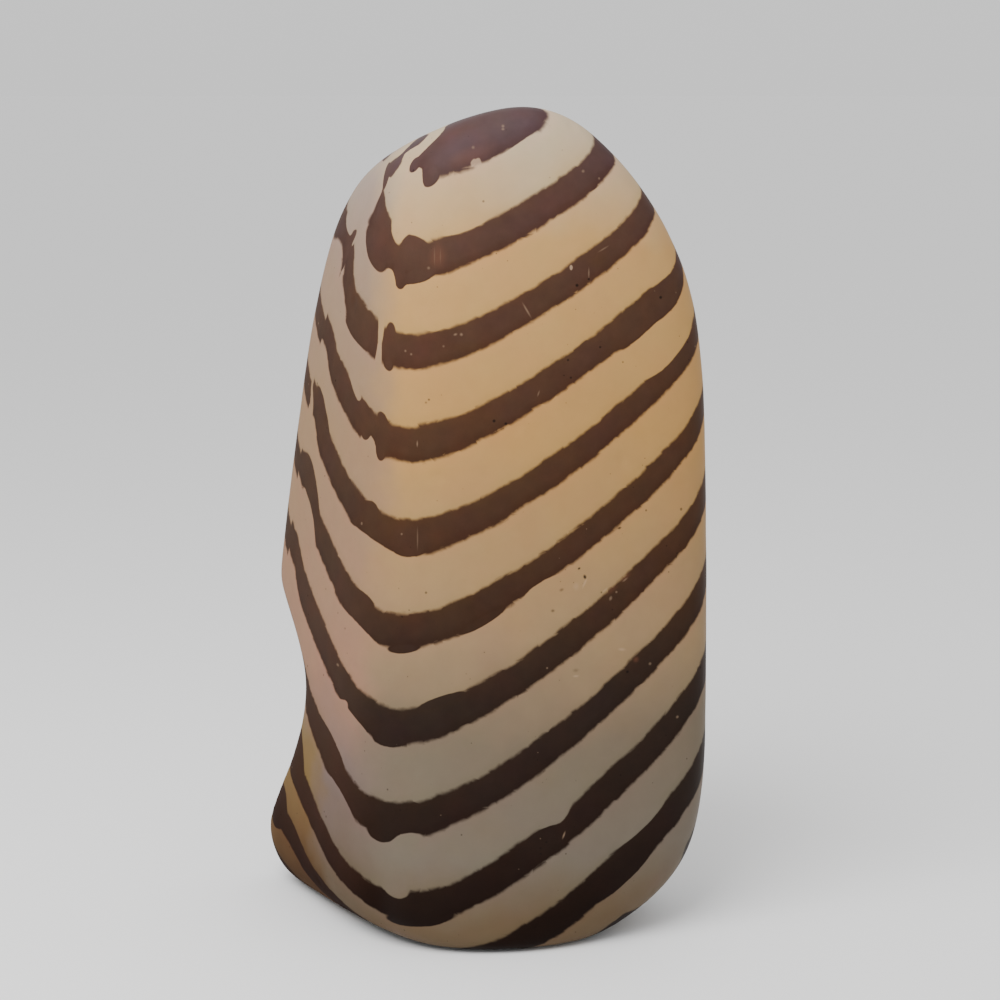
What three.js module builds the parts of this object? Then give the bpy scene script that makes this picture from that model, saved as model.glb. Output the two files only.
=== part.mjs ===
// A polished zebra stone: one piece of banded siltstone, ground by hand to a tall, rounded
// freeform with a domed top, sawn flat underneath so that it stands on its end.
//
// Units are millimetres and +Z is up. The origin is at the middle of the stone's extent, on
// the plane that it stands on. The broad face looks along -Y, and the side that is ground
// nearly square to it looks along -X.
//
// The form is what a lapidary's wheel leaves: a few nearly flat ground faces, whose meeting
// edges are worn round. Each face is a plane, stated by where it looks and how far it lies
// from a point inside the stone. A hollow bitten out of the rear left edge breaks the form.

import * as THREE from "three";
import { mergeVertices } from "three/addons/utils/BufferGeometryUtils.js";

// The point inside the stone that every ground face is measured from.
const CORE = new THREE.Vector3(-4, 26, 66);

// The higher this number, the flatter the faces and the tighter the worn edges between them.
const CRISPNESS = 9;

// The ground faces. azimuth turns from +X towards +Y, tilt is up from level, both in degrees,
// and distance is in millimetres.
const GROUND_FACES = [
  { name: "front left", azimuth: -119.5, tilt: 5.5, distance: 23.7 },
  { name: "front", azimuth: -88, tilt: 5, distance: 19.8 },
  { name: "front right", azimuth: -68, tilt: 4, distance: 22 },
  { name: "right front", azimuth: -29.5, tilt: 2.5, distance: 42.6 },
  { name: "right", azimuth: 8.5, tilt: 0, distance: 40 },
  { name: "back right", azimuth: 47.5, tilt: -2, distance: 33 },
  { name: "back", azimuth: 87.5, tilt: -3, distance: 25.4 },
  { name: "back left", azimuth: 138, tilt: 14, distance: 49 },
  { name: "left", azimuth: 206, tilt: 5, distance: 25.7 },
  { name: "shoulder left", azimuth: 194, tilt: 17, distance: 59 },
  { name: "shoulder right", azimuth: 14.5, tilt: 52.5, distance: 91.5 },
  { name: "crown", azimuth: -108.5, tilt: 75, distance: 100.5 },
  { name: "crown front", azimuth: -109.5, tilt: 20.5, distance: 70.7 },
  { name: "crown right", azimuth: 29, tilt: 35.5, distance: 58.5 },
  { name: "crown left", azimuth: 188.5, tilt: 61, distance: 71 },
  { name: "crown back", azimuth: 67.5, tilt: 36.5, distance: 56.3 },
  { name: "heel right", azimuth: -11, tilt: -44.5, distance: 69 },
  { name: "heel front", azimuth: -86, tilt: -33, distance: 92 },
  { name: "heel ridge", azimuth: 218.5, tilt: -54.5, distance: 77.4 },
  { name: "heel left", azimuth: 219, tilt: -54, distance: 70.3 },
  { name: "heel back", azimuth: 47.5, tilt: -75.5, distance: 69 },
];

// The hollow bitten out of the rear left edge. It pushes the stone's skin forward along the
// left face, so that face stays flat and only ends sooner. The push is greatest at a height,
// on the edge, which lies some way behind CORE, and fades out over the four other lengths.
const HOLLOW = { push: 17.7, height: 39, up: 19, down: 31, behind: 38, along: 34, inward: 32 };

// The sawn base's edge is broken by this much, so that it doesn't chip.
const EDGE_BREAK = 1.2;

// The mesh: columns round the stone, and rings from the middle of its base to its crown.
const COLUMNS = 78;
const RINGS = 62;

// The steps that finding a height or measuring along a curve takes.
const HALVINGS = 30;
const LENGTH_STEPS = 400;

const toward = (azimuth, tilt) =>
  new THREE.Vector3(
    Math.cos(tilt) * Math.cos(azimuth),
    Math.cos(tilt) * Math.sin(azimuth),
    Math.sin(tilt),
  );

const faces = GROUND_FACES.map(({ azimuth, tilt, distance }) => ({
  normal: toward(THREE.MathUtils.degToRad(azimuth), THREE.MathUtils.degToRad(tilt)),
  distance,
}));

// How far the worn surface lies from CORE in a direction: the faces' planes, blended.
function reach(direction) {
  const sum = faces.reduce((total, { normal, distance }) => {
    const nearness = Math.max(0, normal.dot(direction)) / distance;
    return total + nearness ** CRISPNESS;
  }, 0);
  return sum ** (-1 / CRISPNESS);
}

// The left face, and the level directions out of it and forward along it.
const leftFace = GROUND_FACES.find(({ name }) => name === "left");
const leftAzimuth = THREE.MathUtils.degToRad(leftFace.azimuth);
const outOfLeft = toward(leftAzimuth, 0);
const forwardAlongLeft = toward(leftAzimuth + Math.PI / 2, 0);

// 1 in the middle of a dent, falling smoothly to 0 at its rim, where share is 1.
const dent = (share) => Math.max(0, 1 - share ** 2) ** 1.5;

// 1 where a length is at most start, falling smoothly to 0 over span.
const fade = (length, start, span) => 1 - THREE.MathUtils.smoothstep(length, start, start + span);

function pushIntoHollow(point) {
  const rise = point.z - HOLLOW.height;
  const climb = Math.abs(rise) / (rise > 0 ? HOLLOW.up : HOLLOW.down);
  const fromCore = point.clone().sub(CORE);
  const along = fade(fromCore.dot(forwardAlongLeft), -HOLLOW.behind, HOLLOW.along);
  const inward = fade(leftFace.distance - fromCore.dot(outOfLeft), 0, HOLLOW.inward);
  return point.addScaledVector(forwardAlongLeft, HOLLOW.push * dent(climb) * along * inward);
}

function wornPoint(azimuth, tilt) {
  const direction = toward(azimuth, tilt);
  return pushIntoHollow(direction.multiplyScalar(reach(direction)).add(CORE));
}

// The tilt, seen from CORE, at which the worn surface comes down to a height.
function tiltAtHeight(azimuth, height) {
  let below = -Math.PI / 2;
  let above = 0;
  for (let i = 0; i < HALVINGS; i++) {
    const middle = (below + above) / 2;
    if (wornPoint(azimuth, middle).z < height) below = middle;
    else above = middle;
  }
  return above;
}

// The level section through CORE, once round the stone.
class Girth extends THREE.Curve {
  getPoint(share) {
    return wornPoint(share * 2 * Math.PI, 0);
  }
}

// The worn surface at one azimuth, from the broken edge up to the crown.
class Profile extends THREE.Curve {
  constructor(azimuth) {
    super();
    this.arcLengthDivisions = LENGTH_STEPS;
    this.azimuth = azimuth;
    this.lowest = tiltAtHeight(azimuth, EDGE_BREAK);
  }

  getPoint(share) {
    const tilt = THREE.MathUtils.lerp(this.lowest, Math.PI / 2, share);
    return wornPoint(this.azimuth, tilt);
  }
}

// One column of points, from the base's middle, over its edge, and up to the crown.
function columnPoints(azimuth) {
  const side = new Profile(azimuth).getSpacedPoints(RINGS - 2);
  const baseEdge = wornPoint(azimuth, tiltAtHeight(azimuth, 0));
  baseEdge.addScaledVector(toward(azimuth, 0), -EDGE_BREAK).setZ(0);
  const baseMiddle = new THREE.Vector3(CORE.x, CORE.y, 0);
  return [baseMiddle, baseEdge, ...side];
}

function stoneGeometry() {
  const girth = new Girth();
  girth.arcLengthDivisions = LENGTH_STEPS;
  const ball = new THREE.SphereGeometry(1, COLUMNS, RINGS);
  const { position } = ball.attributes;
  for (let column = 0; column <= COLUMNS; column++) {
    const share = girth.getUtoTmapping((column % COLUMNS) / COLUMNS);
    const points = columnPoints(share * 2 * Math.PI);
    // The ball's rings are numbered from its top.
    points.reverse().forEach(({ x, y, z }, ring) => {
      position.setXYZ(ring * (COLUMNS + 1) + column, x, y, z);
    });
  }
  ball.deleteAttribute("normal");
  ball.deleteAttribute("uv");
  const welded = mergeVertices(ball, 1e-3);
  welded.computeBoundingBox();
  const middle = welded.boundingBox.getCenter(new THREE.Vector3());
  return welded.translate(-middle.x, -middle.y, 0);
}

const polishedStone = new THREE.MeshStandardMaterial({
  color: new THREE.Color(0xb99a70),
  roughness: 0.38,
  metalness: 0,
});

const zebraStone = new THREE.Mesh(stoneGeometry(), polishedStone);
zebraStone.name = "zebra_stone";

const part = new THREE.Group();
part.add(zebraStone);

export default part;
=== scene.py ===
"""A polished zebra stone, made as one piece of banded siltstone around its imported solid.

The stone is a single piece. Its colour is cut through it in nearly flat layers, as the real
banding is, so the stripes meet at every edge and carry on round the sides and the back.
"""

import math

import bmesh
import bpy
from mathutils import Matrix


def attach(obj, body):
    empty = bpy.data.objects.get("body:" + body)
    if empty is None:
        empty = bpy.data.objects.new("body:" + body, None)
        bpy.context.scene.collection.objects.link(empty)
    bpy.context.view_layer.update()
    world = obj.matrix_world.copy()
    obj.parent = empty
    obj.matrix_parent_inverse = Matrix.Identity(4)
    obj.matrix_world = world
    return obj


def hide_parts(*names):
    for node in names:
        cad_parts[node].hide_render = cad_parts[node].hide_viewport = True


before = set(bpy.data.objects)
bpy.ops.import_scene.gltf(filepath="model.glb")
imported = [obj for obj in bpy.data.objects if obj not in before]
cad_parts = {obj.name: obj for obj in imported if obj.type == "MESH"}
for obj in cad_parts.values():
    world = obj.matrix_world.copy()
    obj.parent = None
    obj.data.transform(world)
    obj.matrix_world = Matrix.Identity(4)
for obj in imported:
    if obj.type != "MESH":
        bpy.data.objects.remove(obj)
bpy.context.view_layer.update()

bl_info = {
    "name": "Zebra Stone",
    "version": (1, 0, 0),
    "blender": (4, 5, 0),
    "location": "3D View > Sidebar > Zebra Stone",
    "description": "A polished zebra stone with dark rusty bands, and the studio it stands in",
    "category": "Object",
}

NODE = "zebra_stone"
BODY = "root"
PIECE = "zebra_stone_skin"

# Patterns and places below are in millimetres, and meshes are in metres.
MILLIMETRES = 1000.0
MM = 1 / MILLIMETRES

# ---------------------------------------------------------------------------- the banding

# The bands are counted from the crown down. A point's layer number is a plane in X, Y and
# Z with a slight bow in height, and each whole number is the middle of a dark band.
LAYER_AT_MIDDLE = 5.605
LAYERS_PER_MM_RIGHT = 1.166 / 40
LAYERS_PER_MM_BACK = 1.576 / 25
LAYERS_OVER_HALF = -5.011
LAYERS_BOW = -0.176
MIDDLE_HEIGHT = 72.0

# The rear healed crack on the left side. Its Y falls away in a curve above its foot.
CRACK_FOOT = 70.0
CRACK_FOOT_Y = 14.5
CRACK_SLOPE = 0.07
CRACK_CURVE = 0.0035

# The depths inside a band, in layers, over which pale stone gives way to dark.
EDGE_FADE = (-0.026, 0.030)

# Half the thickness of each dark band, as a share of the distance between two bands.
BAND_HALVES = (0.18, 0.205, 0.195, 0.2, 0.19, 0.185, 0.195, 0.195, 0.205, 0.235, 0.22, 0.2)

# Places where the layers slip from their plane: X, Y, Z, half width, half height, turn in
# degrees about Y, and how many layers the slip is.
SLIPS = (
    # where the bands loop and fork at the left of the crown
    (-13.5, -6.0, 135.5, 2.5, 5.5, -35, 0.55),
    (-18.5, -1.5, 131.0, 5.0, 9.0, -45, 0.40),
    (-16.5, -8.0, 126.5, 4.5, 9.0, 35, 0.15),
    (-24.0, 4.0, 121.0, 6.5, 10.0, -30, 0.40),
    # the heel, and the right end of the foot
    (-35.0, 4.5, 11.5, 4.5, 7.5, 0, 0.10),
    (32.0, -13.5, 8.5, 6.0, 10.0, -45, -0.55),
)

# Places where the dark stain creeps out from a band or stops short of its edge, given in
# the same way. The last number is added to half the band's thickness.
CREEPS = (
    # the crown blotch: its cut back end and two prongs
    (-9.0, -7.0, 138.5, 1.0, 8.0, -45, -0.50),
    (5.0, -14.0, 136.5, 7.5, 1.0, 40, -0.20),
    (-11.0, -10.0, 135.0, 1.0, 2.0, -10, 0.35),
    (-8.5, -13.0, 133.0, 2.0, 2.5, -25, 0.40),
    (-10.5, -11.5, 132.5, 2.0, 3.0, -15, -0.30),
    # the loop at the left end of the first band, its thin tail, and the band's foot
    (-17.5, -1.5, 133.0, 3.0, 5.5, 5, -0.45),
    (-16.0, -5.5, 133.0, 0.6, 2.8, -10, 0.80),
    (-14.0, -5.0, 135.5, 0.5, 2.6, -40, 0.40),
    (-11.0, -6.5, 138.5, 0.6, 3.6, -50, 0.90),
    (-2.5, -16.0, 125.0, 5.0, 1.0, 20, -0.25),
    (-13.5, -12.0, 123.5, 2.0, 3.5, 10, -0.35),
    (-11.5, -14.0, 122.0, 3.5, 2.0, -15, 0.35),
    (-18.0, -8.0, 120.5, 2.0, 5.0, 20, 0.55),
    (-10.5, -15.5, 116.5, 4.0, 1.5, 20, 0.35),
    (-15.0, -12.0, 116.0, 1.0, 2.0, 15, -0.45),
    (-13.5, -13.5, 116.0, 1.5, 3.0, 5, 0.35),
    # the right shoulder
    (31.5, -8.0, 118.0, 7.0, 4.0, 40, -0.20),
    (32.0, -9.0, 112.0, 7.5, 3.5, 45, 0.25),
    (27.5, -11.5, 107.5, 7.0, 2.0, 45, 0.20),
    (32.5, -9.5, 103.0, 7.5, 2.0, 45, -0.35),
    # the second band: its thick wing and prong, its spike and the pale healed crack across it
    (-23.0, 2.5, 124.0, 1.0, 2.5, 10, -0.35),
    (-22.0, 0.5, 122.5, 0.7, 2.7, -30, 0.35),
    (-15.0, -14.0, 107.5, 1.0, 2.0, 0, 0.20),
    (-21.5, -5.5, 106.0, 1.5, 4.5, 45, 0.30),
    (-17.0, -12.5, 105.0, 0.8, 7.5, -5, -0.35),
    (-15.5, -14.0, 101.5, 1.0, 1.6, 10, 0.22),
    # spikes and notches of the third band, where it crosses the left corner
    (-21.5, -7.5, 96.5, 0.8, 4.0, 20, -0.30),
    (-20.0, -10.0, 93.5, 1.2, 2.0, 30, 0.30),
    (-16.5, -14.5, 92.0, 1.0, 2.2, 15, 0.25),
    (-28.0, 4.0, 90.0, 1.2, 7.5, 10, 0.40),
    (-30.5, 9.5, 92.5, 0.5, 3.5, 0, -0.35),
    (-19.5, -11.5, 89.0, 1.0, 2.0, -5, 0.30),
    (-19.0, -12.5, 87.0, 2.0, 4.5, 5, -0.35),
    (-17.0, -14.5, 86.5, 1.0, 1.8, 5, 0.35),
    # the fourth to the sixth
    (-30.5, 6.5, 78.0, 2.0, 8.0, 10, 0.45),
    (-18.5, -14.5, 76.5, 1.5, 2.0, 5, 0.30),
    (-31.0, 6.5, 72.0, 1.5, 7.0, 10, -0.45),
    (-12.0, -19.5, 70.5, 3.5, 1.5, 5, 0.30),
    (-19.0, -15.0, 70.5, 2.0, 10.0, 65, -0.25),
    (11.0, -20.0, 63.5, 5.0, 2.0, 30, -0.40),
    (-20.5, -15.0, 61.0, 3.0, 1.5, -20, 0.35),
    (0.5, -22.0, 58.5, 5.5, 1.0, 30, 0.25),
    (-21.5, -14.5, 55.0, 2.0, 9.0, 55, -0.30),
    (-13.0, -21.0, 53.5, 3.5, 1.0, 10, 0.30),
    (-6.5, -23.0, 45.0, 5.0, 1.0, 20, 0.30),
    # the seventh, and the dark line down the rear left edge
    (-24.0, -13.5, 41.5, 1.2, 2.2, -45, -0.20),
    (-22.0, -15.5, 39.5, 1.0, 6.5, 50, -0.25),
    (-15.5, -21.5, 37.5, 3.5, 1.5, 5, 0.25),
    (-26.5, -10.0, 33.5, 2.0, 6.0, 35, 0.35),
    (-34.0, 3.0, 30.0, 3.0, 9.5, 0, 0.60),
    # the eighth, with its narrow neck, the ninth, and the dark heel
    (-25.0, -13.5, 25.0, 5.5, 2.0, -50, -0.30),
    (13.0, -23.0, 24.5, 4.0, 2.5, 40, -0.25),
    (10.5, -23.5, 21.5, 4.0, 0.8, 30, 0.25),
    (28.0, -18.0, 21.5, 7.0, 1.5, 40, -0.30),
    (-17.0, -22.0, 21.0, 3.0, 2.0, 0, 0.30),
    (-12.5, -24.5, 20.5, 3.5, 1.8, 20, -0.25),
    (25.5, -19.0, 12.5, 7.5, 1.5, 40, 0.30),
    (-14.5, -24.0, 11.5, 2.5, 3.0, 65, -0.30),
    (-11.0, -24.0, 6.0, 8.5, 1.7, 10, 0.30),
    (-38.0, 9.5, 15.5, 2.4, 8.5, -20, 0.50),
)

# Small marks on the front, given in the same way. The last number is how strong each is.
RUSTY_STAINS = (
    (22.5, -17.0, 63.0, 1.9, 1.0, 35, 0.50),
    (25.0, -16.0, 65.0, 1.6, 0.8, 35, 0.60),
    (-7.0, -16.0, 120.0, 2.2, 2.9, 0, 0.60),
    (-1.5, -13.5, 136.5, 6.0, 2.2, 20, 0.45),
    (27.0, -16.5, 50.5, 0.8, 0.8, 0, 0.70),
)
OLIVE_STAINS = (
    (20.0, -13.5, 119.5, 3.0, 2.7, 30, 0.80),
    (-1.5, -18.0, 105.0, 5.0, 1.3, 0, 0.50),
)
CHIPS = (
    (-0.5, -14.5, 135.5, 1.8, 1.3, 15, 1.0),
    (15.5, -14.5, 118.0, 0.5, 1.0, 0, 0.8),
)
SPECKS = (
    (4.0, -12.5, 141.5, 0.4, 0.4, 0, 0.8),
    (4.0, -12.5, 141.0, 0.4, 0.3, 0, 0.8),
    (-1.0, -13.5, 138.0, 0.4, 0.4, 0, 0.6),
    (17.5, -12.0, 134.0, 0.4, 0.4, 0, 0.8),
    (-8.5, -15.5, 118.0, 0.4, 0.4, 0, 0.6),
    (-3.0, -17.5, 107.0, 0.4, 0.4, 0, 0.9),
    (-4.0, -17.5, 107.0, 0.5, 0.3, 20, 0.9),
    (-6.0, -17.5, 105.0, 0.3, 0.3, 0, 0.6),
    (-12.5, -15.5, 104.0, 0.3, 0.3, 0, 0.8),
    (-11.5, -16.0, 103.5, 0.3, 0.3, 0, 0.8),
    (-10.5, -18.5, 88.5, 0.2, 0.8, 0, 0.9),
    (23.5, -16.5, 62.5, 0.3, 0.3, 0, 0.8),
    (22.5, -17.0, 61.5, 0.4, 0.6, -20, 0.8),
    (29.5, -15.0, 49.5, 0.4, 0.4, 0, 0.7),
    (-25.0, -10.0, 48.0, 0.4, 0.4, 0, 0.8),
    (34.5, -13.5, 39.5, 0.4, 0.4, 0, 0.8),
)
SCRATCHES = (
    (21.0, -12.5, 121.0, 0.2, 1.5, -60, 0.5),
    (-6.5, -16.0, 120.0, 0.15, 1.8, 0, 0.2),
    (-7.5, -15.5, 120.0, 0.15, 2.2, 0, 0.25),
    (18.5, -14.0, 117.0, 0.2, 1.3, 0, 0.6),
    (8.0, -16.5, 111.0, 0.25, 2.0, 30, 0.7),
    (10.0, -17.5, 97.0, 0.2, 0.8, -20, 0.5),
    (-10.5, -20.0, 72.5, 0.2, 2.7, 0, 0.35),
    (18.0, -18.5, 64.5, 0.3, 1.5, -25, 1.0),
    (16.5, -19.0, 64.0, 0.8, 1.0, 0, 0.5),
    (21.5, -17.0, 63.0, 0.9, 0.25, 40, 0.7),
    (25.0, -16.0, 64.5, 0.8, 0.25, 35, 0.6),
    (24.5, -17.0, 52.5, 1.0, 0.4, -10, 0.9),
    (16.5, -20.0, 48.5, 0.8, 0.3, 0, 0.9),
    (14.5, -22.5, 21.0, 0.25, 1.0, -20, 0.9),
)
PITS = (
    (18.5, -14.0, 116.0, 0.3, 0.3, 0, 1.1),
    (16.5, -14.5, 115.0, 0.4, 0.4, 0, 1.2),
    (31.0, -9.5, 112.5, 0.4, 0.4, 0, 1.1),
    (20.5, -14.5, 104.5, 0.3, 0.3, 0, 1.0),
    (15.0, -16.0, 102.5, 0.3, 0.3, 0, 1.0),
    (15.5, -16.0, 99.5, 0.3, 0.3, 0, 1.0),
    (-8.5, -18.0, 96.0, 0.3, 0.3, 0, 0.8),
    (-9.0, -18.0, 95.5, 0.3, 0.3, 0, 0.6),
    (2.5, -19.0, 92.5, 0.4, 0.4, 0, 1.2),
    (4.5, -19.0, 92.0, 0.4, 0.4, 0, 1.1),
    (24.0, -15.5, 73.5, 0.5, 0.3, 20, 0.9),
    (17.0, -18.5, 67.0, 0.4, 0.3, 30, 1.0),
    (18.0, -18.0, 65.5, 0.4, 0.6, 20, 1.1),
    (14.0, -19.5, 63.5, 0.6, 0.4, 20, 0.5),
    (12.5, -20.0, 60.0, 0.5, 0.4, 0, 0.6),
    (16.5, -20.0, 49.5, 0.8, 0.5, 0, 0.3),
    (25.5, -17.0, 48.5, 0.4, 0.4, 0, 1.2),
    (11.5, -23.5, 20.0, 0.3, 0.3, 0, 1.2),
    (10.5, -24.0, 19.0, 0.3, 0.3, 0, 1.2),
    (10.5, -24.0, 18.0, 0.3, 0.3, 0, 1.2),
)

# How far along Y a place, or a small mark, reaches from its middle, and how much of its half
# width and half height each of them fills.
PLACE_DEPTH = 12.0
MARK_DEPTH = 4.0
PLACE_REACH = 0.95

# How far two patterns whose seeds differ by 1 lie apart, along X, Y and Z.
SEED_STEPS = (37.0, 71.0, 53.0)


# ------------------------------------------------------------------------- building nodes


class Value:
    """A number in a node tree. Arithmetic on it adds the tree's own Math nodes."""

    def __init__(self, web, socket):
        self.web = web
        self.socket = socket

    def __add__(self, other):
        return self.web.math("ADD", self, other)

    def __radd__(self, other):
        return self.web.math("ADD", other, self)

    def __sub__(self, other):
        return self.web.math("SUBTRACT", self, other)

    def __rsub__(self, other):
        return self.web.math("SUBTRACT", other, self)

    def __mul__(self, other):
        return self.web.math("MULTIPLY", self, other)

    def __rmul__(self, other):
        return self.web.math("MULTIPLY", other, self)

    def __truediv__(self, other):
        return self.web.math("DIVIDE", self, other)

    def __rtruediv__(self, other):
        return self.web.math("DIVIDE", other, self)

    def __neg__(self):
        return self.web.math("MULTIPLY", self, -1.0)

    def __abs__(self):
        return self.web.math("ABSOLUTE", self)

    def most(self, other):
        return self.web.math("MAXIMUM", self, other)

    def least(self, other):
        return self.web.math("MINIMUM", self, other)

    def nearest_whole(self):
        return self.web.math("ROUND", self)


class Web:
    """A node tree being built, and the few ways that its nodes are added."""

    def __init__(self, tree):
        self.tree = tree
        tree.nodes.clear()

    def node(self, kind, settings=None, sockets=None):
        """Adds a node: its settings are set first, then each socket gets a value or a link."""
        node = self.tree.nodes.new(kind)
        for name, value in (settings or {}).items():
            if name == "stops":
                self._set_stops(node.color_ramp, value)
            else:
                setattr(node, name, value)
        for name, value in (sockets or {}).items():
            self.feed(node, name, value)
        return node

    def _set_stops(self, ramp, stops):
        ready = len(ramp.elements)
        for index, (place, colour) in enumerate(stops):
            stop = ramp.elements[index] if index < ready else ramp.elements.new(place)
            stop.position = place
            stop.color = colour

    def feed(self, node, name, value):
        socket = next(s for s in node.inputs if s.identifier == name)
        if isinstance(value, Value):
            value = value.socket
        if isinstance(value, bpy.types.NodeSocket):
            self.tree.links.new(value, socket)
        else:
            socket.default_value = value

    def out(self, node, name):
        return next(s for s in node.outputs if s.identifier == name)

    def math(self, operation, first, second=0.0):
        sockets = {"Value": first}
        if operation not in ("ABSOLUTE", "ROUND"):
            sockets["Value_001"] = second
        node = self.node("ShaderNodeMath", {"operation": operation}, sockets)
        return Value(self, node.outputs["Value"])

    def vector(self, operation, first, second=None, result="Vector"):
        sockets = {"Vector": first}
        if second is not None:
            sockets["Scale" if operation == "SCALE" else "Vector_001"] = second
        node = self.node("ShaderNodeVectorMath", {"operation": operation}, sockets)
        return node.outputs[result]

    def length(self, vector):
        return Value(self, self.vector("LENGTH", vector, result="Value"))

    def parts(self, vector):
        node = self.node("ShaderNodeSeparateXYZ", sockets={"Vector": vector})
        return [Value(self, node.outputs[axis]) for axis in "XYZ"]

    def rise(self, value, start, end, low=0.0, high=1.0):
        """Goes smoothly from low to high as value goes from start to end."""
        sockets = {
            "Value": value, "From Min": start, "From Max": end, "To Min": low, "To Max": high}
        settings = {"interpolation_type": "SMOOTHSTEP"}
        node = self.node("ShaderNodeMapRange", settings, sockets)
        return Value(self, node.outputs["Result"])

    def fall(self, value, start, end):
        """Goes smoothly from 1 to 0 as value goes from start to end."""
        return self.rise(value, start, end, low=1.0, high=0.0)

    def noise(self, position, scale, detail=2.0, roughness=0.5):
        """Noise about 0, mostly between -1 and 1."""
        sockets = {
            "Vector": position, "Scale": scale, "Detail": detail, "Roughness": roughness}
        node = self.node("ShaderNodeTexNoise", sockets=sockets)
        return Value(self, self.out(node, "Fac")) * 4.0 - 2.0


class Paint(Web):
    """A material's tree, with the ways of mixing colours that a stone needs."""

    def __init__(self, tree):
        super().__init__(tree)
        here = self.node("ShaderNodeTexCoord").outputs["Object"]
        self.here = self.vector("SCALE", here, MILLIMETRES)
        self.x, self.y, self.z = self.parts(self.here)
        self.frames = {0: self.here}

    def shifted(self, seed, stretch=(1.0, 1.0, 1.0)):
        """The point on the stone, moved by a seed so that no two patterns are alike."""
        place = tuple(seed * step for step in SEED_STEPS)
        sockets = {"Vector": self.here, "Location": place, "Scale": stretch}
        return self.node("ShaderNodeMapping", sockets=sockets).outputs["Vector"]

    def cloud(self, size, seed, detail=2.0, roughness=0.5):
        """Noise with lumps of a size, in millimetres."""
        return self.noise(self.shifted(seed), 1 / size, detail, roughness)

    def turned(self, turn):
        """The point on the stone in a frame turned about Y, made once for each turn."""
        if turn not in self.frames:
            cos, sin = math.cos(math.radians(turn)), math.sin(math.radians(turn))
            right = self.vector("DOT_PRODUCT", self.here, (cos, 0.0, sin), "Value")
            up = self.vector("DOT_PRODUCT", self.here, (-sin, 0.0, cos), "Value")
            joined = self.node("ShaderNodeCombineXYZ", sockets={"X": right, "Y": self.y, "Z": up})
            self.frames[turn] = joined.outputs["Vector"]
        return self.frames[turn]

    def place(self, x, y, z, half_width, half_height, turn, depth, amount):
        """Rises to the root of an amount at a place, and is 0 beyond its oval's edge."""
        cos, sin = math.cos(math.radians(turn)), math.sin(math.radians(turn))
        top = math.sqrt(abs(amount))
        share = math.sqrt(top)
        halves = (half_width * PLACE_REACH, depth, half_height * PLACE_REACH)
        sizes = [share / half for half in halves]
        middle = (x * cos + z * sin, y, -x * sin + z * cos)
        start = tuple(-size * along for size, along in zip(sizes, middle))
        sockets = {"Vector": self.turned(turn), "Vector_001": sizes, "Vector_002": start}
        moved = self.node("ShaderNodeVectorMath", {"operation": "MULTIPLY_ADD"}, sockets)
        away = self.vector("DOT_PRODUCT", moved.outputs["Vector"], moved.outputs["Vector"], "Value")
        settings = {"operation": "SUBTRACT", "use_clamp": True}
        left = self.node("ShaderNodeMath", settings, {"Value": top, "Value_001": away})
        return Value(self, left.outputs["Value"])

    def places(self, places, depth=PLACE_DEPTH):
        """The amounts of all the places that a point is in, added up."""
        total = None
        for *where, amount in places:
            # The share times itself is the amount, and the other one carries its sign.
            share = self.place(*where, depth, amount)
            other = share if amount > 0 else -share
            sockets = {"Value": share, "Value_001": other, "Value_002": total or 0.0}
            settings = {"operation": "MULTIPLY_ADD"}
            total = Value(self, self.node("ShaderNodeMath", settings, sockets).outputs["Value"])
        return total

    def cells(self, size, seed, stretch=(1.0, 1.0, 1.0)):
        """Each point's distance from the middle of its cell, and its cell's random number."""
        sockets = {"Vector": self.shifted(seed, stretch), "Scale": 1 / size}
        node = self.node("ShaderNodeTexVoronoi", sockets=sockets)
        return Value(self, node.outputs["Distance"]), self.red(node.outputs["Color"])

    def red(self, colour):
        """The red part of a colour, as a number."""
        node = self.node("ShaderNodeSeparateColor", sockets={"Color": colour})
        return Value(self, node.outputs["Red"])

    def mix(self, share, first, second, how="MIX"):
        settings = {"data_type": "RGBA", "blend_type": how, "clamp_factor": True}
        sockets = {"Factor_Float": share, "A_Color": first, "B_Color": second}
        return self.out(self.node("ShaderNodeMix", settings, sockets), "Result_Color")

    def tint(self, share, colour, shares):
        """The colour with its red, green and blue multiplied, as far as the first share says."""
        return self.mix(share, colour, tinted(shares), how="MULTIPLY")

    def ramp(self, value, stops):
        return self.node("ShaderNodeValToRGB", {"stops": stops}, {"Fac": value}).outputs["Color"]

    def shade(self, colour, amount):
        """The colour made lighter or darker by an amount about 1."""
        sockets = {"Color": colour, "Value": amount}
        return self.node("ShaderNodeHueSaturation", sockets=sockets).outputs["Color"]


def tinted(shares):
    """Shares of red, green and blue, as a colour that a socket takes."""
    return tuple(shares) + (1.0,)


def linear(red, green, blue):
    """A colour given as a screen shows it, from 0 to 255, as the renderer wants it."""

    def one(part):
        part /= 255
        return part / 12.92 if part <= 0.04045 else ((part + 0.055) / 1.055) ** 2.4

    return (one(red), one(green), one(blue), 1.0)


# ------------------------------------------------------------------------ stone's finish

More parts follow.
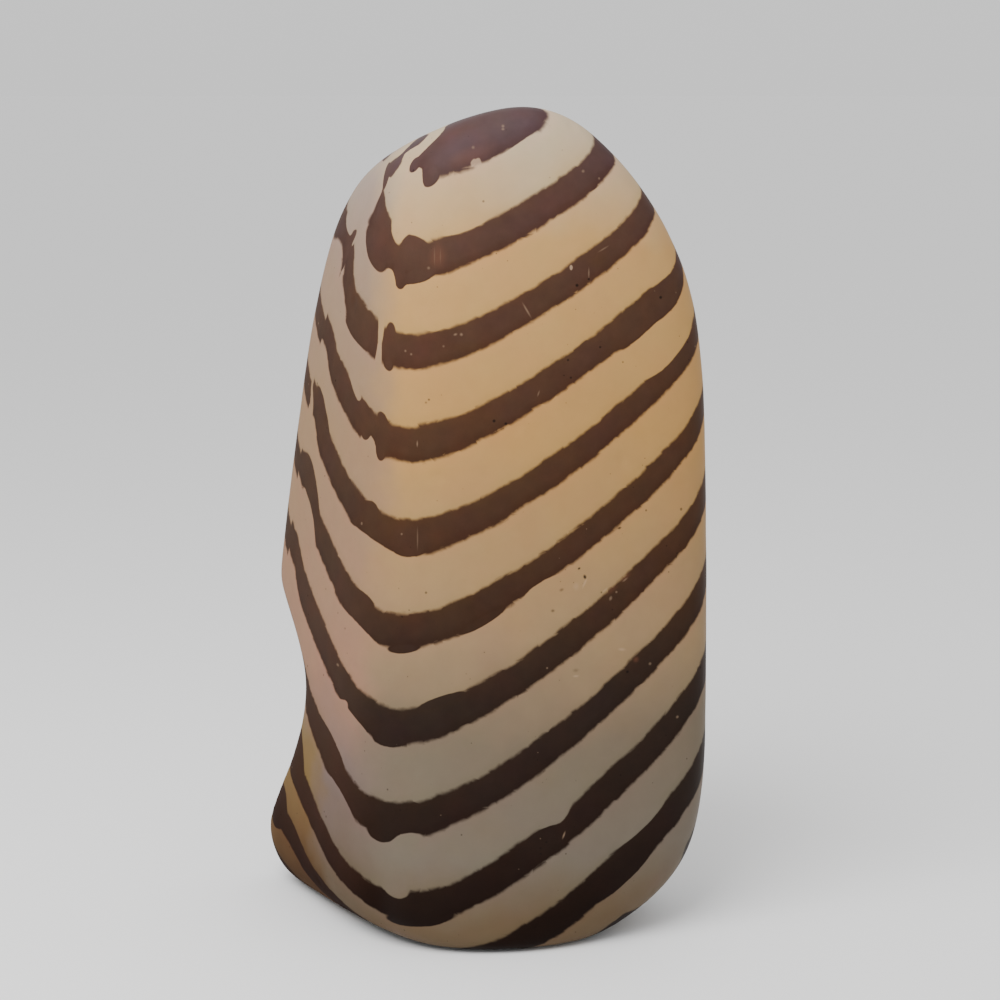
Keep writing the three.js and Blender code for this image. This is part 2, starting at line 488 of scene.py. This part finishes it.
# The colours of the pale layers on the front and on the left side, of the golden ones at
# the rear of the heel, and of the dark bands, each from the foot to the crown. They run
# darker towards the foot, and the front's pale and the dark ones greyer at the crown: partly
# the stone's own colour, partly painted shade of a light from above and a painted sheen on
# the crown. A colour's place is a share of TOP_HEIGHT, which is in millimetres.
TOP_HEIGHT = 145.0
PALE_FRONT = (
    (0.03, linear(90, 75, 56)),
    (0.12, linear(98, 90, 78)),
    (0.26, linear(102, 91, 75)),
    (0.38, linear(134, 111, 82)),
    (0.62, linear(160, 124, 74)),
    (0.84, linear(170, 134, 84)),
    (0.97, linear(170, 154, 128)),
)
PALE_SIDE = (
    (0.08, linear(88, 75, 60)),
    (0.20, linear(104, 89, 83)),
    (0.31, linear(136, 105, 85)),
    (0.62, linear(136, 111, 84)),
    (0.80, linear(137, 115, 96)),
    (0.97, linear(142, 130, 121)),
)
GOLDEN = (
    (0.03, linear(66, 46, 27)),
    (0.09, linear(88, 66, 42)),
    (0.17, linear(106, 86, 54)),
    (0.26, linear(112, 94, 64)),
)
DARK = (
    (0.04, linear(20, 8, 3)),
    (0.14, linear(30, 19, 13)),
    (0.30, linear(36, 26, 20)),
    (0.46, linear(55, 37, 25)),
    (0.62, linear(62, 42, 29)),
    (0.80, linear(66, 46, 35)),
    (0.92, linear(67, 48, 43)),
    (0.98, linear(68, 53, 53)),
)
PINK = (1.0, 0.93, 0.97)
ROSE = (1.05, 0.99, 1.02)
GREY_GREEN = (0.95, 0.97, 0.93)
GOLD_TINT = (1.03, 0.99, 0.90)
OLIVE = (1.08, 1.05, 0.84)
UMBER = (0.86, 0.74, 0.66)
PLUM = (0.98, 0.86, 1.06)
RUST = (1.14, 0.97, 0.88)
# A warm tint low down on the left side: painted warm light.
SIDE_WARM_LIGHT = (1.14, 0.98, 0.86)
RUSTY = linear(112, 70, 52)
CHIPPED = linear(172, 144, 118)
PIT_SHADE = linear(22, 14, 10)


def layer_numbers(paint):
    """Each point's layer number, how much thicker its band is and if it is on the left side.

    The layers slip along two healed cracks on that side, and its bands are a little thicker.
    """
    x, y, z = paint.x, paint.y, paint.z
    height = (z - MIDDLE_HEIGHT) / MIDDLE_HEIGHT
    layer = x * LAYERS_PER_MM_RIGHT + y * LAYERS_PER_MM_BACK + LAYER_AT_MIDDLE
    layer = layer + height * (LAYERS_OVER_HALF + LAYERS_BOW * height)

    above = z - CRACK_FOOT
    rear_crack = CRACK_FOOT_Y - above * (CRACK_SLOPE + CRACK_CURVE * above)
    rear_crack = rear_crack - paint.rise(z, 110.0, 122.0, high=2.0)
    behind = y - rear_crack + 0.25 * paint.cloud(2.5, seed=3)

    # Past the left corner the layers bend, slip at the crack and bend back near the crown.
    left = paint.rise(-x, 14.0, 19.0)
    tall = paint.rise(z, 40.0, 60.0)
    bend = 0.025 - 0.16 * paint.rise(behind, -9.0, -3.0)
    crown = paint.rise(z, 121.0, 132.0, high=0.14) * paint.rise(behind, -10.0, 0.0)
    slip = paint.rise(behind, -0.15, 0.15, high=0.10) * paint.fall(z, 122.0, 128.0)
    layer = layer - left * (tall * (bend + slip) - crown)

    thicker = left * paint.rise(z, 30.0, 60.0, high=0.035) * paint.fall(behind, -7.0, -3.0)
    return layer + paint.places(SLIPS), thicker, left


def ragged(paint):
    """How far the bands' edges stray, in layers: slow drift, small steps and a fine fray."""
    drift = 0.012 * paint.cloud(16.0, seed=5, detail=1.0)
    wander = 0.012 * paint.cloud(5.0, seed=6, detail=1.0)
    fray = 0.010 * paint.cloud(1.3, seed=7, detail=1.0)
    _, step = paint.cells(2.6, seed=8, stretch=(1.0, 1.0, 1.6))
    return drift + wander + fray + (step - 0.5) * 0.020


def band_ramp(paint, band):
    """Half the thickness of the band that a point is nearest to."""
    last = len(BAND_HALVES) - 1
    stops = [(i / last, (half, half, half, 1.0)) for i, half in enumerate(BAND_HALVES)]
    node = paint.node("ShaderNodeValToRGB", {"stops": stops}, {"Fac": band / last})
    return paint.red(node.outputs["Color"])


def pale_stone(paint, settings, layer, across, inside):
    """The pale siltstone, pinker under each band and greyer over it."""
    # Colours by height: darker towards the foot is partly painted shade, and the grey at the crown
    # partly a painted sheen.
    height = paint.z / TOP_HEIGHT + 0.02 * paint.cloud(14.0, seed=10)
    front, side = paint.ramp(height, PALE_FRONT), paint.ramp(height, PALE_SIDE)
    back = paint.rise(paint.y, -5.0, 15.0)
    corner = (1.5 + 3.0 * back) * paint.cloud(9.0, seed=26)
    corner = corner + paint.rise(paint.z, 20.0, 90.0, low=4.0, high=0.0)
    # The left side's colours are partly its own, pinker, and partly painted shade, darker than the
    # front's over most of its height.
    left = paint.rise(-paint.x - corner, 12.0 - 14.0 * back, 20.0 + 6.0 * back)
    pale = paint.mix(left, front, side)

    # Golden low down at the rear of the left side, and all of that side below the ninth band:
    # partly the stone's own tone and partly painted warm light thrown up from below.
    drift = 2.5 * paint.cloud(8.0, seed=28)
    rear = paint.rise(paint.y + drift, -10.0, -2.5)
    low = paint.fall(paint.z + drift, 30.0, 42.0)
    golden = left * low * rear.most(paint.rise(layer, 8.85, 9.1))
    pale = paint.mix(golden, pale, paint.ramp(height, GOLDEN))

    below = paint.rise(across, -0.02, 0.02)
    under = paint.rise(inside, -0.16, -0.01) * below
    over = paint.rise(inside, -0.14, -0.01) * (1.0 - below)
    pale = paint.tint(under * 0.8, pale, ROSE)
    pale = paint.tint(over * 0.9, pale, GREY_GREEN)
    pink = 0.3 + 0.4 * paint.cloud(9.0, seed=11)
    pale = paint.tint(pink, pale, PINK)
    pale = paint.tint(0.4 * paint.cloud(7.0, seed=16), pale, GOLD_TINT)

    grain = 1.0 + 0.03 * paint.cloud(3.0, seed=12, detail=4.0, roughness=0.6)
    pale = paint.shade(pale, grain)
    return paint.tint(1.0, pale, settings.pale_tint)


def dark_stone(paint, settings, across, inside):
    """The iron-stained bands: plum brown, olive at their upper edges and umber below."""
    height = paint.z / TOP_HEIGHT + 0.02 * paint.cloud(11.0, seed=20)
    # Darker towards the foot and greyer at the crown: partly painted shade and a painted sheen.
    brown = paint.ramp(height, DARK)
    plum = 0.2 + 0.5 * paint.cloud(8.0, seed=14)
    brown = paint.tint(plum, brown, PLUM)
    rust = 0.1 + 0.5 * paint.cloud(6.0, seed=18)
    brown = paint.tint(rust, brown, RUST)

    below = paint.rise(across, -0.02, 0.02)
    depth = inside + 0.016 * paint.cloud(1.8, seed=19)
    edge = paint.fall(depth, 0.0, 0.14)
    olive = edge * (1.0 - below) * 0.5 + paint.places(OLIVE_STAINS, MARK_DEPTH)
    olive = olive + 0.35 * paint.cloud(10.0, seed=24).most(0.0)
    brown = paint.tint(olive.least(1.0), brown, OLIVE)
    brown = paint.tint(edge * below * 0.7, brown, UMBER)

    # Warmer and lighter low down on the left side, and a little darker higher up: painted warm
    # light low down and painted shade higher up on that side.
    side = paint.rise(-paint.x, 15.0, 26.0)
    side = side * paint.rise(paint.z, 35.0, 75.0, low=0.75, high=-0.15)
    brown = paint.tint(side, brown, SIDE_WARM_LIGHT)
    grain = 1.0 + 0.10 * paint.cloud(3.0, seed=15, detail=3.0, roughness=0.6)
    brown = paint.shade(brown, grain - 0.3 * across + side)
    brown = paint.mix(paint.places(RUSTY_STAINS, MARK_DEPTH) * 0.4, brown, RUSTY)
    return paint.tint(1.0, brown, settings.dark_tint)


def scattered_pits(paint):
    """Tiny open pits, closer together in some places."""
    distance, chance = paint.cells(2.0, seed=21)
    crowded = paint.rise(paint.cloud(9.0, seed=25), -0.4, 0.9, high=0.11)
    return paint.fall(distance - crowded * chance, 0.0, 0.05)


def stone_material(settings):
    material = bpy.data.materials.new("banded_siltstone")
    material.use_nodes = True
    paint = Paint(material.node_tree)

    layer, thicker, left = layer_numbers(paint)
    layer = layer + ragged(paint)
    band = layer.nearest_whole().most(0.0)
    half = band_ramp(paint, band) + thicker + paint.places(CREEPS)
    across = layer - band
    inside = half - abs(across)
    dark = paint.rise(inside, *EDGE_FADE)

    pale = pale_stone(paint, settings, layer, across, inside)
    brown = dark_stone(paint, settings, across, inside)
    stone = paint.mix(dark, pale, brown)

    pits = scattered_pits(paint)
    placed_pits = paint.places(PITS, MARK_DEPTH)
    scratches = paint.places(SCRATCHES, MARK_DEPTH)
    chips = paint.places(CHIPS, MARK_DEPTH) + 0.16 * paint.cloud(0.7, seed=27, detail=1.0)
    chips = paint.rise(chips, 0.30, 0.62)
    fleck_distance, fleck_chance = paint.cells(4.2, seed=22)
    fleck = paint.fall(fleck_distance - 0.05 * fleck_chance, 0.0, 0.03)
    light = chips + 0.5 * paint.places(SPECKS, MARK_DEPTH) + 0.6 * scratches
    light = light + 0.3 * dark * fleck
    stone = paint.mix((light * 0.6).least(0.7), stone, CHIPPED)
    stone = paint.mix((pits * 0.55 + placed_pits).least(0.9), stone, PIT_SHADE)

    relief = 0.006 * paint.cloud(1.1, seed=32)
    sockets = {"Strength": 0.6, "Distance": 1.0 * MM, "Height": relief}
    bump = paint.node("ShaderNodeBump", sockets=sockets)
    rough = settings.roughness + 0.2 * pits + 0.15 * chips
    rough = rough + left * paint.rise(paint.z, 20.0, 60.0, low=0.40, high=0.15)
    shader = paint.node(
        "ShaderNodeBsdfPrincipled",
        sockets={
            "Base Color": stone,
            "Roughness": rough,
            "IOR": 1.5,
            "Specular IOR Level": 0.06,
            "Normal": bump.outputs["Normal"],
        },
    )
    paint.node("ShaderNodeOutputMaterial", sockets={"Surface": shader.outputs["BSDF"]})
    return material


# -------------------------------------------------------------------- the stone's surface

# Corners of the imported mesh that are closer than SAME_CORNER are one corner. Two triangles
# that bend by less than PAIR_BEND pair into a quad, and PAIR_SHAPE lets it have any shape.
SAME_CORNER = 0.01 * MM
PAIR_BEND = math.radians(40)
PAIR_SHAPE = math.radians(180)
SMOOTHING_STEPS = 2

# The wear fades out below this height, so that the flat that it stands on stays flat.
FOOT_HEIGHT = 6.0 * MM

# The smallest nick, as a share of the largest, and the seeds of the nicks' places and sizes.
SMALLEST_NICK = 0.35
NICK_PLACES_SEED = 4
NICK_SIZES_SEED = 9
WEAR_MEASURES = (
    "Wave Depth", "Wave Size", "Nicks per Area", "Nick Radius", "Nick Depth", "Foot Height")


def merged_copy(node):
    """A CAD node's mesh with its loose triangles joined up, as quads where they pair."""
    work = bmesh.new()
    work.from_mesh(node.data)
    bmesh.ops.remove_doubles(work, verts=work.verts, dist=SAME_CORNER)
    bmesh.ops.join_triangles(
        work,
        faces=work.faces,
        angle_face_threshold=PAIR_BEND,
        angle_shape_threshold=PAIR_SHAPE,
    )
    mesh = bpy.data.meshes.new(PIECE)
    work.to_mesh(mesh)
    work.free()
    return mesh


def wear_tree():
    """Geometry nodes that lower the surface a little in slow waves and small round nicks."""
    tree = bpy.data.node_groups.new("hand_polished_surface", "GeometryNodeTree")
    interface = tree.interface
    interface.new_socket("Geometry", in_out="INPUT", socket_type="NodeSocketGeometry")
    for name in WEAR_MEASURES:
        interface.new_socket(name, in_out="INPUT", socket_type="NodeSocketFloat")
    interface.new_socket("Material", in_out="INPUT", socket_type="NodeSocketMaterial")
    result = interface.new_socket("Geometry", in_out="OUTPUT", socket_type="NodeSocketGeometry")
    result_name = result.identifier

    web = Web(tree)
    given = web.node("NodeGroupInput").outputs
    value = {socket.name: Value(web, socket) for socket in given if socket.name}
    position = web.node("GeometryNodeInputPosition").outputs["Position"]
    normal = web.node("GeometryNodeInputNormal").outputs["Normal"]
    height = web.parts(position)[2]
    free = web.rise(height, 0.0, value["Foot Height"])

    waves = web.noise(position, 1.0 / value["Wave Size"], 1.0) * 0.5 + 0.5
    sunk = waves.most(0.0).least(1.0) * value["Wave Depth"]

    nicks = web.node(
        "GeometryNodeDistributePointsOnFaces",
        {"distribute_method": "RANDOM"},
        {"Mesh": given["Geometry"], "Density": value["Nicks per Area"], "Seed": NICK_PLACES_SEED},
    ).outputs["Points"]
    nearest = web.node(
        "GeometryNodeSampleNearest",
        {"domain": "POINT"},
        {"Geometry": nicks, "Sample Position": position},
    ).outputs["Index"]
    middle = web.node(
        "GeometryNodeSampleIndex",
        {"data_type": "FLOAT_VECTOR", "domain": "POINT"},
        {"Geometry": nicks, "Value": position, "Index": nearest},
    ).outputs["Value"]
    size = web.node(
        "FunctionNodeRandomValue",
        {"data_type": "FLOAT"},
        {"Min_001": SMALLEST_NICK, "Max_001": 1.0, "ID": nearest, "Seed": NICK_SIZES_SEED},
    )
    size = Value(web, web.out(size, "Value_001"))
    away = web.length(web.vector("SUBTRACT", position, middle))
    nick = web.fall(away, 0.0, value["Nick Radius"] * size)
    sunk = sunk + nick * size * value["Nick Depth"]

    offset = web.vector("SCALE", normal, -(sunk * free))
    moved = web.node(
        "GeometryNodeSetPosition", sockets={"Geometry": given["Geometry"], "Offset": offset}
    ).outputs["Geometry"]
    real = web.node(
        "GeometryNodeRealizeInstances", sockets={"Geometry": moved}
    ).outputs["Geometry"]
    done = web.node(
        "GeometryNodeSetMaterial", sockets={"Geometry": real, "Material": given["Material"]}
    ).outputs["Geometry"]
    web.node("NodeGroupOutput", sockets={result_name: done})
    return tree


def set_input(modifier, name, value):
    items = modifier.node_group.interface.items_tree
    socket = next(s for s in items if s.name == name and s.in_out == "INPUT")
    modifier[socket.identifier] = value


def make_plain(piece):
    """Turns what a piece's modifiers make of it into its own mesh, and removes them."""
    graph = bpy.context.evaluated_depsgraph_get()
    mesh = bpy.data.meshes.new_from_object(piece.evaluated_get(graph), depsgraph=graph)
    old = piece.data
    piece.modifiers.clear()
    piece.data = mesh
    name = old.name
    bpy.data.meshes.remove(old)
    mesh.name = name


def make_stone(settings):
    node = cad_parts[NODE]
    piece = bpy.data.objects.new(PIECE, merged_copy(node))
    bpy.context.scene.collection.objects.link(piece)
    smooth = piece.modifiers.new("Rounding", "SUBSURF")
    smooth.levels = SMOOTHING_STEPS
    smooth.render_levels = SMOOTHING_STEPS

    wear = piece.modifiers.new("Wear", "NODES")
    wear.node_group = wear_tree()
    set_input(wear, "Wave Depth", settings.wave_depth)
    set_input(wear, "Wave Size", settings.wave_size)
    set_input(wear, "Nicks per Area", settings.nicks_per_area)
    set_input(wear, "Nick Radius", settings.nick_radius)
    set_input(wear, "Nick Depth", settings.nick_depth)
    set_input(wear, "Foot Height", FOOT_HEIGHT)
    set_input(wear, "Material", stone_material(settings))
    make_plain(piece)
    for polygon in piece.data.polygons:
        polygon.use_smooth = True

    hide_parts(NODE)
    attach(piece, BODY)
    return piece


# -------------------------------------------------------------------------- the studio

CAMERA_TARGET = (3.5 * MM, -27.8 * MM, 80.55 * MM)
CAMERA_DISTANCE = 391.4 * MM
CAMERA_TILT = math.radians(10)
LENS = 85.0
SENSOR = 36.0
CLIP_NEAR = 0.01
CLIP_FAR = 100.0
FLOOR_RADIUS = 30.0
FLOOR_SIDES = 96
FLOOR_ROUGHNESS = 0.7
FLOOR_SHADE = 0.84
# The sky is brighter overhead by as much as makes the far floor as bright as the horizon.
OVERHEAD_GAIN = (1 / FLOOR_SHADE - 1) * 1.5
# Where the overhead light is, the point it is turned towards and its width, in metres.
LIGHT_PLACE = (-0.16, -0.24, 0.42)
LIGHT_AIM = (0.0, 0.0, 70 * MM)
LIGHT_SIDE = 0.34


def make_camera():
    data = bpy.data.cameras.new("camera")
    data.lens = LENS
    data.sensor_width = SENSOR
    data.clip_start = CLIP_NEAR
    data.clip_end = CLIP_FAR
    camera = bpy.data.objects.new("camera", data)
    x, y, z = CAMERA_TARGET
    camera.location = (
        x,
        y - CAMERA_DISTANCE * math.cos(CAMERA_TILT),
        z + CAMERA_DISTANCE * math.sin(CAMERA_TILT),
    )
    camera.rotation_euler = (math.pi / 2 - CAMERA_TILT, 0.0, 0.0)
    bpy.context.scene.collection.objects.link(camera)
    bpy.context.scene.camera = camera


def floor_material(settings):
    material = bpy.data.materials.new("pale_floor")
    material.use_nodes = True
    web = Web(material.node_tree)
    sockets = {"Base Color": tinted(settings.floor_colour), "Roughness": FLOOR_ROUGHNESS}
    shader = web.node("ShaderNodeBsdfPrincipled", sockets=sockets)
    web.node("ShaderNodeOutputMaterial", sockets={"Surface": shader.outputs["BSDF"]})
    return material


def make_floor(settings):
    """A round pale floor, wide enough that its far edge fades into the studio's light."""
    work = bmesh.new()
    bmesh.ops.create_circle(work, cap_ends=True, segments=FLOOR_SIDES, radius=FLOOR_RADIUS)
    mesh = bpy.data.meshes.new("floor")
    work.to_mesh(mesh)
    work.free()
    mesh.materials.append(floor_material(settings))
    floor = bpy.data.objects.new("floor", mesh)
    bpy.context.scene.collection.objects.link(floor)


def make_light(settings):
    """A wide soft light above the stone, to the left and in front, turned towards it."""
    data = bpy.data.lights.new("overhead", "AREA")
    data.shape = "RECTANGLE"
    data.size = LIGHT_SIDE
    data.size_y = LIGHT_SIDE
    data.energy = settings.key_light
    light = bpy.data.objects.new("overhead", data)
    light.location = LIGHT_PLACE
    x, y, z = (there - here for there, here in zip(LIGHT_PLACE, LIGHT_AIM))
    turn = math.atan2(x, -y)
    tilt = math.atan2(math.hypot(x, y), z)
    light.rotation_euler = (tilt, 0.0, turn)
    light.visible_camera = False
    bpy.context.scene.collection.objects.link(light)


def make_world(settings):
    world = bpy.data.worlds.new("studio")
    world.use_nodes = True
    web = Web(world.node_tree)
    up = web.parts(web.node("ShaderNodeTexCoord").outputs["Generated"])[2]
    strength = (1.0 + up.most(0.0) * OVERHEAD_GAIN) * settings.room_light
    sockets = {"Color": tinted((1.0, 1.0, 1.0)), "Strength": strength}
    sky = web.node("ShaderNodeBackground", sockets=sockets)
    web.node("ShaderNodeOutputWorld", sockets={"Surface": sky.outputs["Background"]})
    bpy.context.scene.world = world


# ------------------------------------------------------------------- settings and buttons


class ZebraStoneSettings(bpy.types.PropertyGroup):
    """What a user would change on the stone."""

    pale_tint: bpy.props.FloatVectorProperty(
        name="Pale Tint", description="Multiplies the colour of the pale layers",
        subtype="COLOR", size=3, min=0.0, max=1.0, default=(1.0, 1.0, 1.0))
    dark_tint: bpy.props.FloatVectorProperty(
        name="Dark Tint", description="Multiplies the colour of the iron-stained bands",
        subtype="COLOR", size=3, min=0.0, max=1.0, default=(1.0, 1.0, 1.0))
    roughness: bpy.props.FloatProperty(
        name="Roughness", description="How dull the polish is", subtype="FACTOR",
        min=0.0, max=1.0, default=0.46)
    wave_depth: bpy.props.FloatProperty(
        name="Wave Depth", description="Depth of the slow waves that hand polishing leaves",
        subtype="DISTANCE", unit="LENGTH", default=0.18 * MM)
    wave_size: bpy.props.FloatProperty(
        name="Wave Size", description="Width of those waves", subtype="DISTANCE",
        unit="LENGTH", default=14.0 * MM)
    nicks_per_area: bpy.props.FloatProperty(
        name="Nicks", description="Small nicks per square metre of surface",
        default=2600.0, min=0.0)
    nick_radius: bpy.props.FloatProperty(
        name="Nick Radius", description="Radius of the largest nick", subtype="DISTANCE",
        unit="LENGTH", default=1.6 * MM)
    nick_depth: bpy.props.FloatProperty(
        name="Nick Depth", description="Depth of the largest nick", subtype="DISTANCE",
        unit="LENGTH", default=0.16 * MM)


class StudioSettings(bpy.types.PropertyGroup):
    """What a user would change in the studio."""

    floor_colour: bpy.props.FloatVectorProperty(
        name="Floor", description="Colour of the floor", subtype="COLOR",
        size=3, min=0.0, max=1.0, default=(FLOOR_SHADE, FLOOR_SHADE, FLOOR_SHADE))
    room_light: bpy.props.FloatProperty(
        name="Room Light", description="Strength of the light from all around", default=0.91,
        min=0.0)
    key_light: bpy.props.FloatProperty(
        name="Overhead Light", description="Power of the overhead light", subtype="POWER",
        unit="POWER", default=2.8, min=0.0)


class ZEBRA_OT_stone(bpy.types.Operator):
    """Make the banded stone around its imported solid"""

    bl_idname = "zebra_stone.make_stone"
    bl_label = "Make Stone"

    def execute(self, context):
        make_stone(context.scene.zebra_stone)
        return {"FINISHED"}


class ZEBRA_OT_studio(bpy.types.Operator):
    """Make the camera, the floor and the lights"""

    bl_idname = "zebra_stone.make_studio"
    bl_label = "Make Studio"

    def execute(self, context):
        settings = context.scene.zebra_studio
        make_camera()
        make_floor(settings)
        make_world(settings)
        make_light(settings)
        return {"FINISHED"}


class ZEBRA_PT_panel(bpy.types.Panel):
    """The buttons and settings in the 3D view's sidebar"""

    bl_idname = "ZEBRA_PT_panel"
    bl_label = "Zebra Stone"
    bl_space_type = "VIEW_3D"
    bl_region_type = "UI"
    bl_category = "Zebra Stone"

    def draw(self, context):
        layout = self.layout
        for operator, settings in (
            (ZEBRA_OT_stone, context.scene.zebra_stone),
            (ZEBRA_OT_studio, context.scene.zebra_studio),
        ):
            layout.operator(operator.bl_idname)
            for name in settings.bl_rna.properties.keys():
                if name not in ("rna_type", "name"):
                    layout.prop(settings, name)


CLASSES = (
    ZebraStoneSettings,
    StudioSettings,
    ZEBRA_OT_stone,
    ZEBRA_OT_studio,
    ZEBRA_PT_panel,
)


def register():
    for cls in CLASSES:
        bpy.utils.register_class(cls)
    bpy.types.Scene.zebra_stone = bpy.props.PointerProperty(type=ZebraStoneSettings)
    bpy.types.Scene.zebra_studio = bpy.props.PointerProperty(type=StudioSettings)


def unregister():
    del bpy.types.Scene.zebra_studio
    del bpy.types.Scene.zebra_stone
    for cls in reversed(CLASSES):
        bpy.utils.unregister_class(cls)


def main():
    register()
    bpy.ops.zebra_stone.make_studio()
    bpy.ops.zebra_stone.make_stone()


if __name__ == "__main__":
    main()
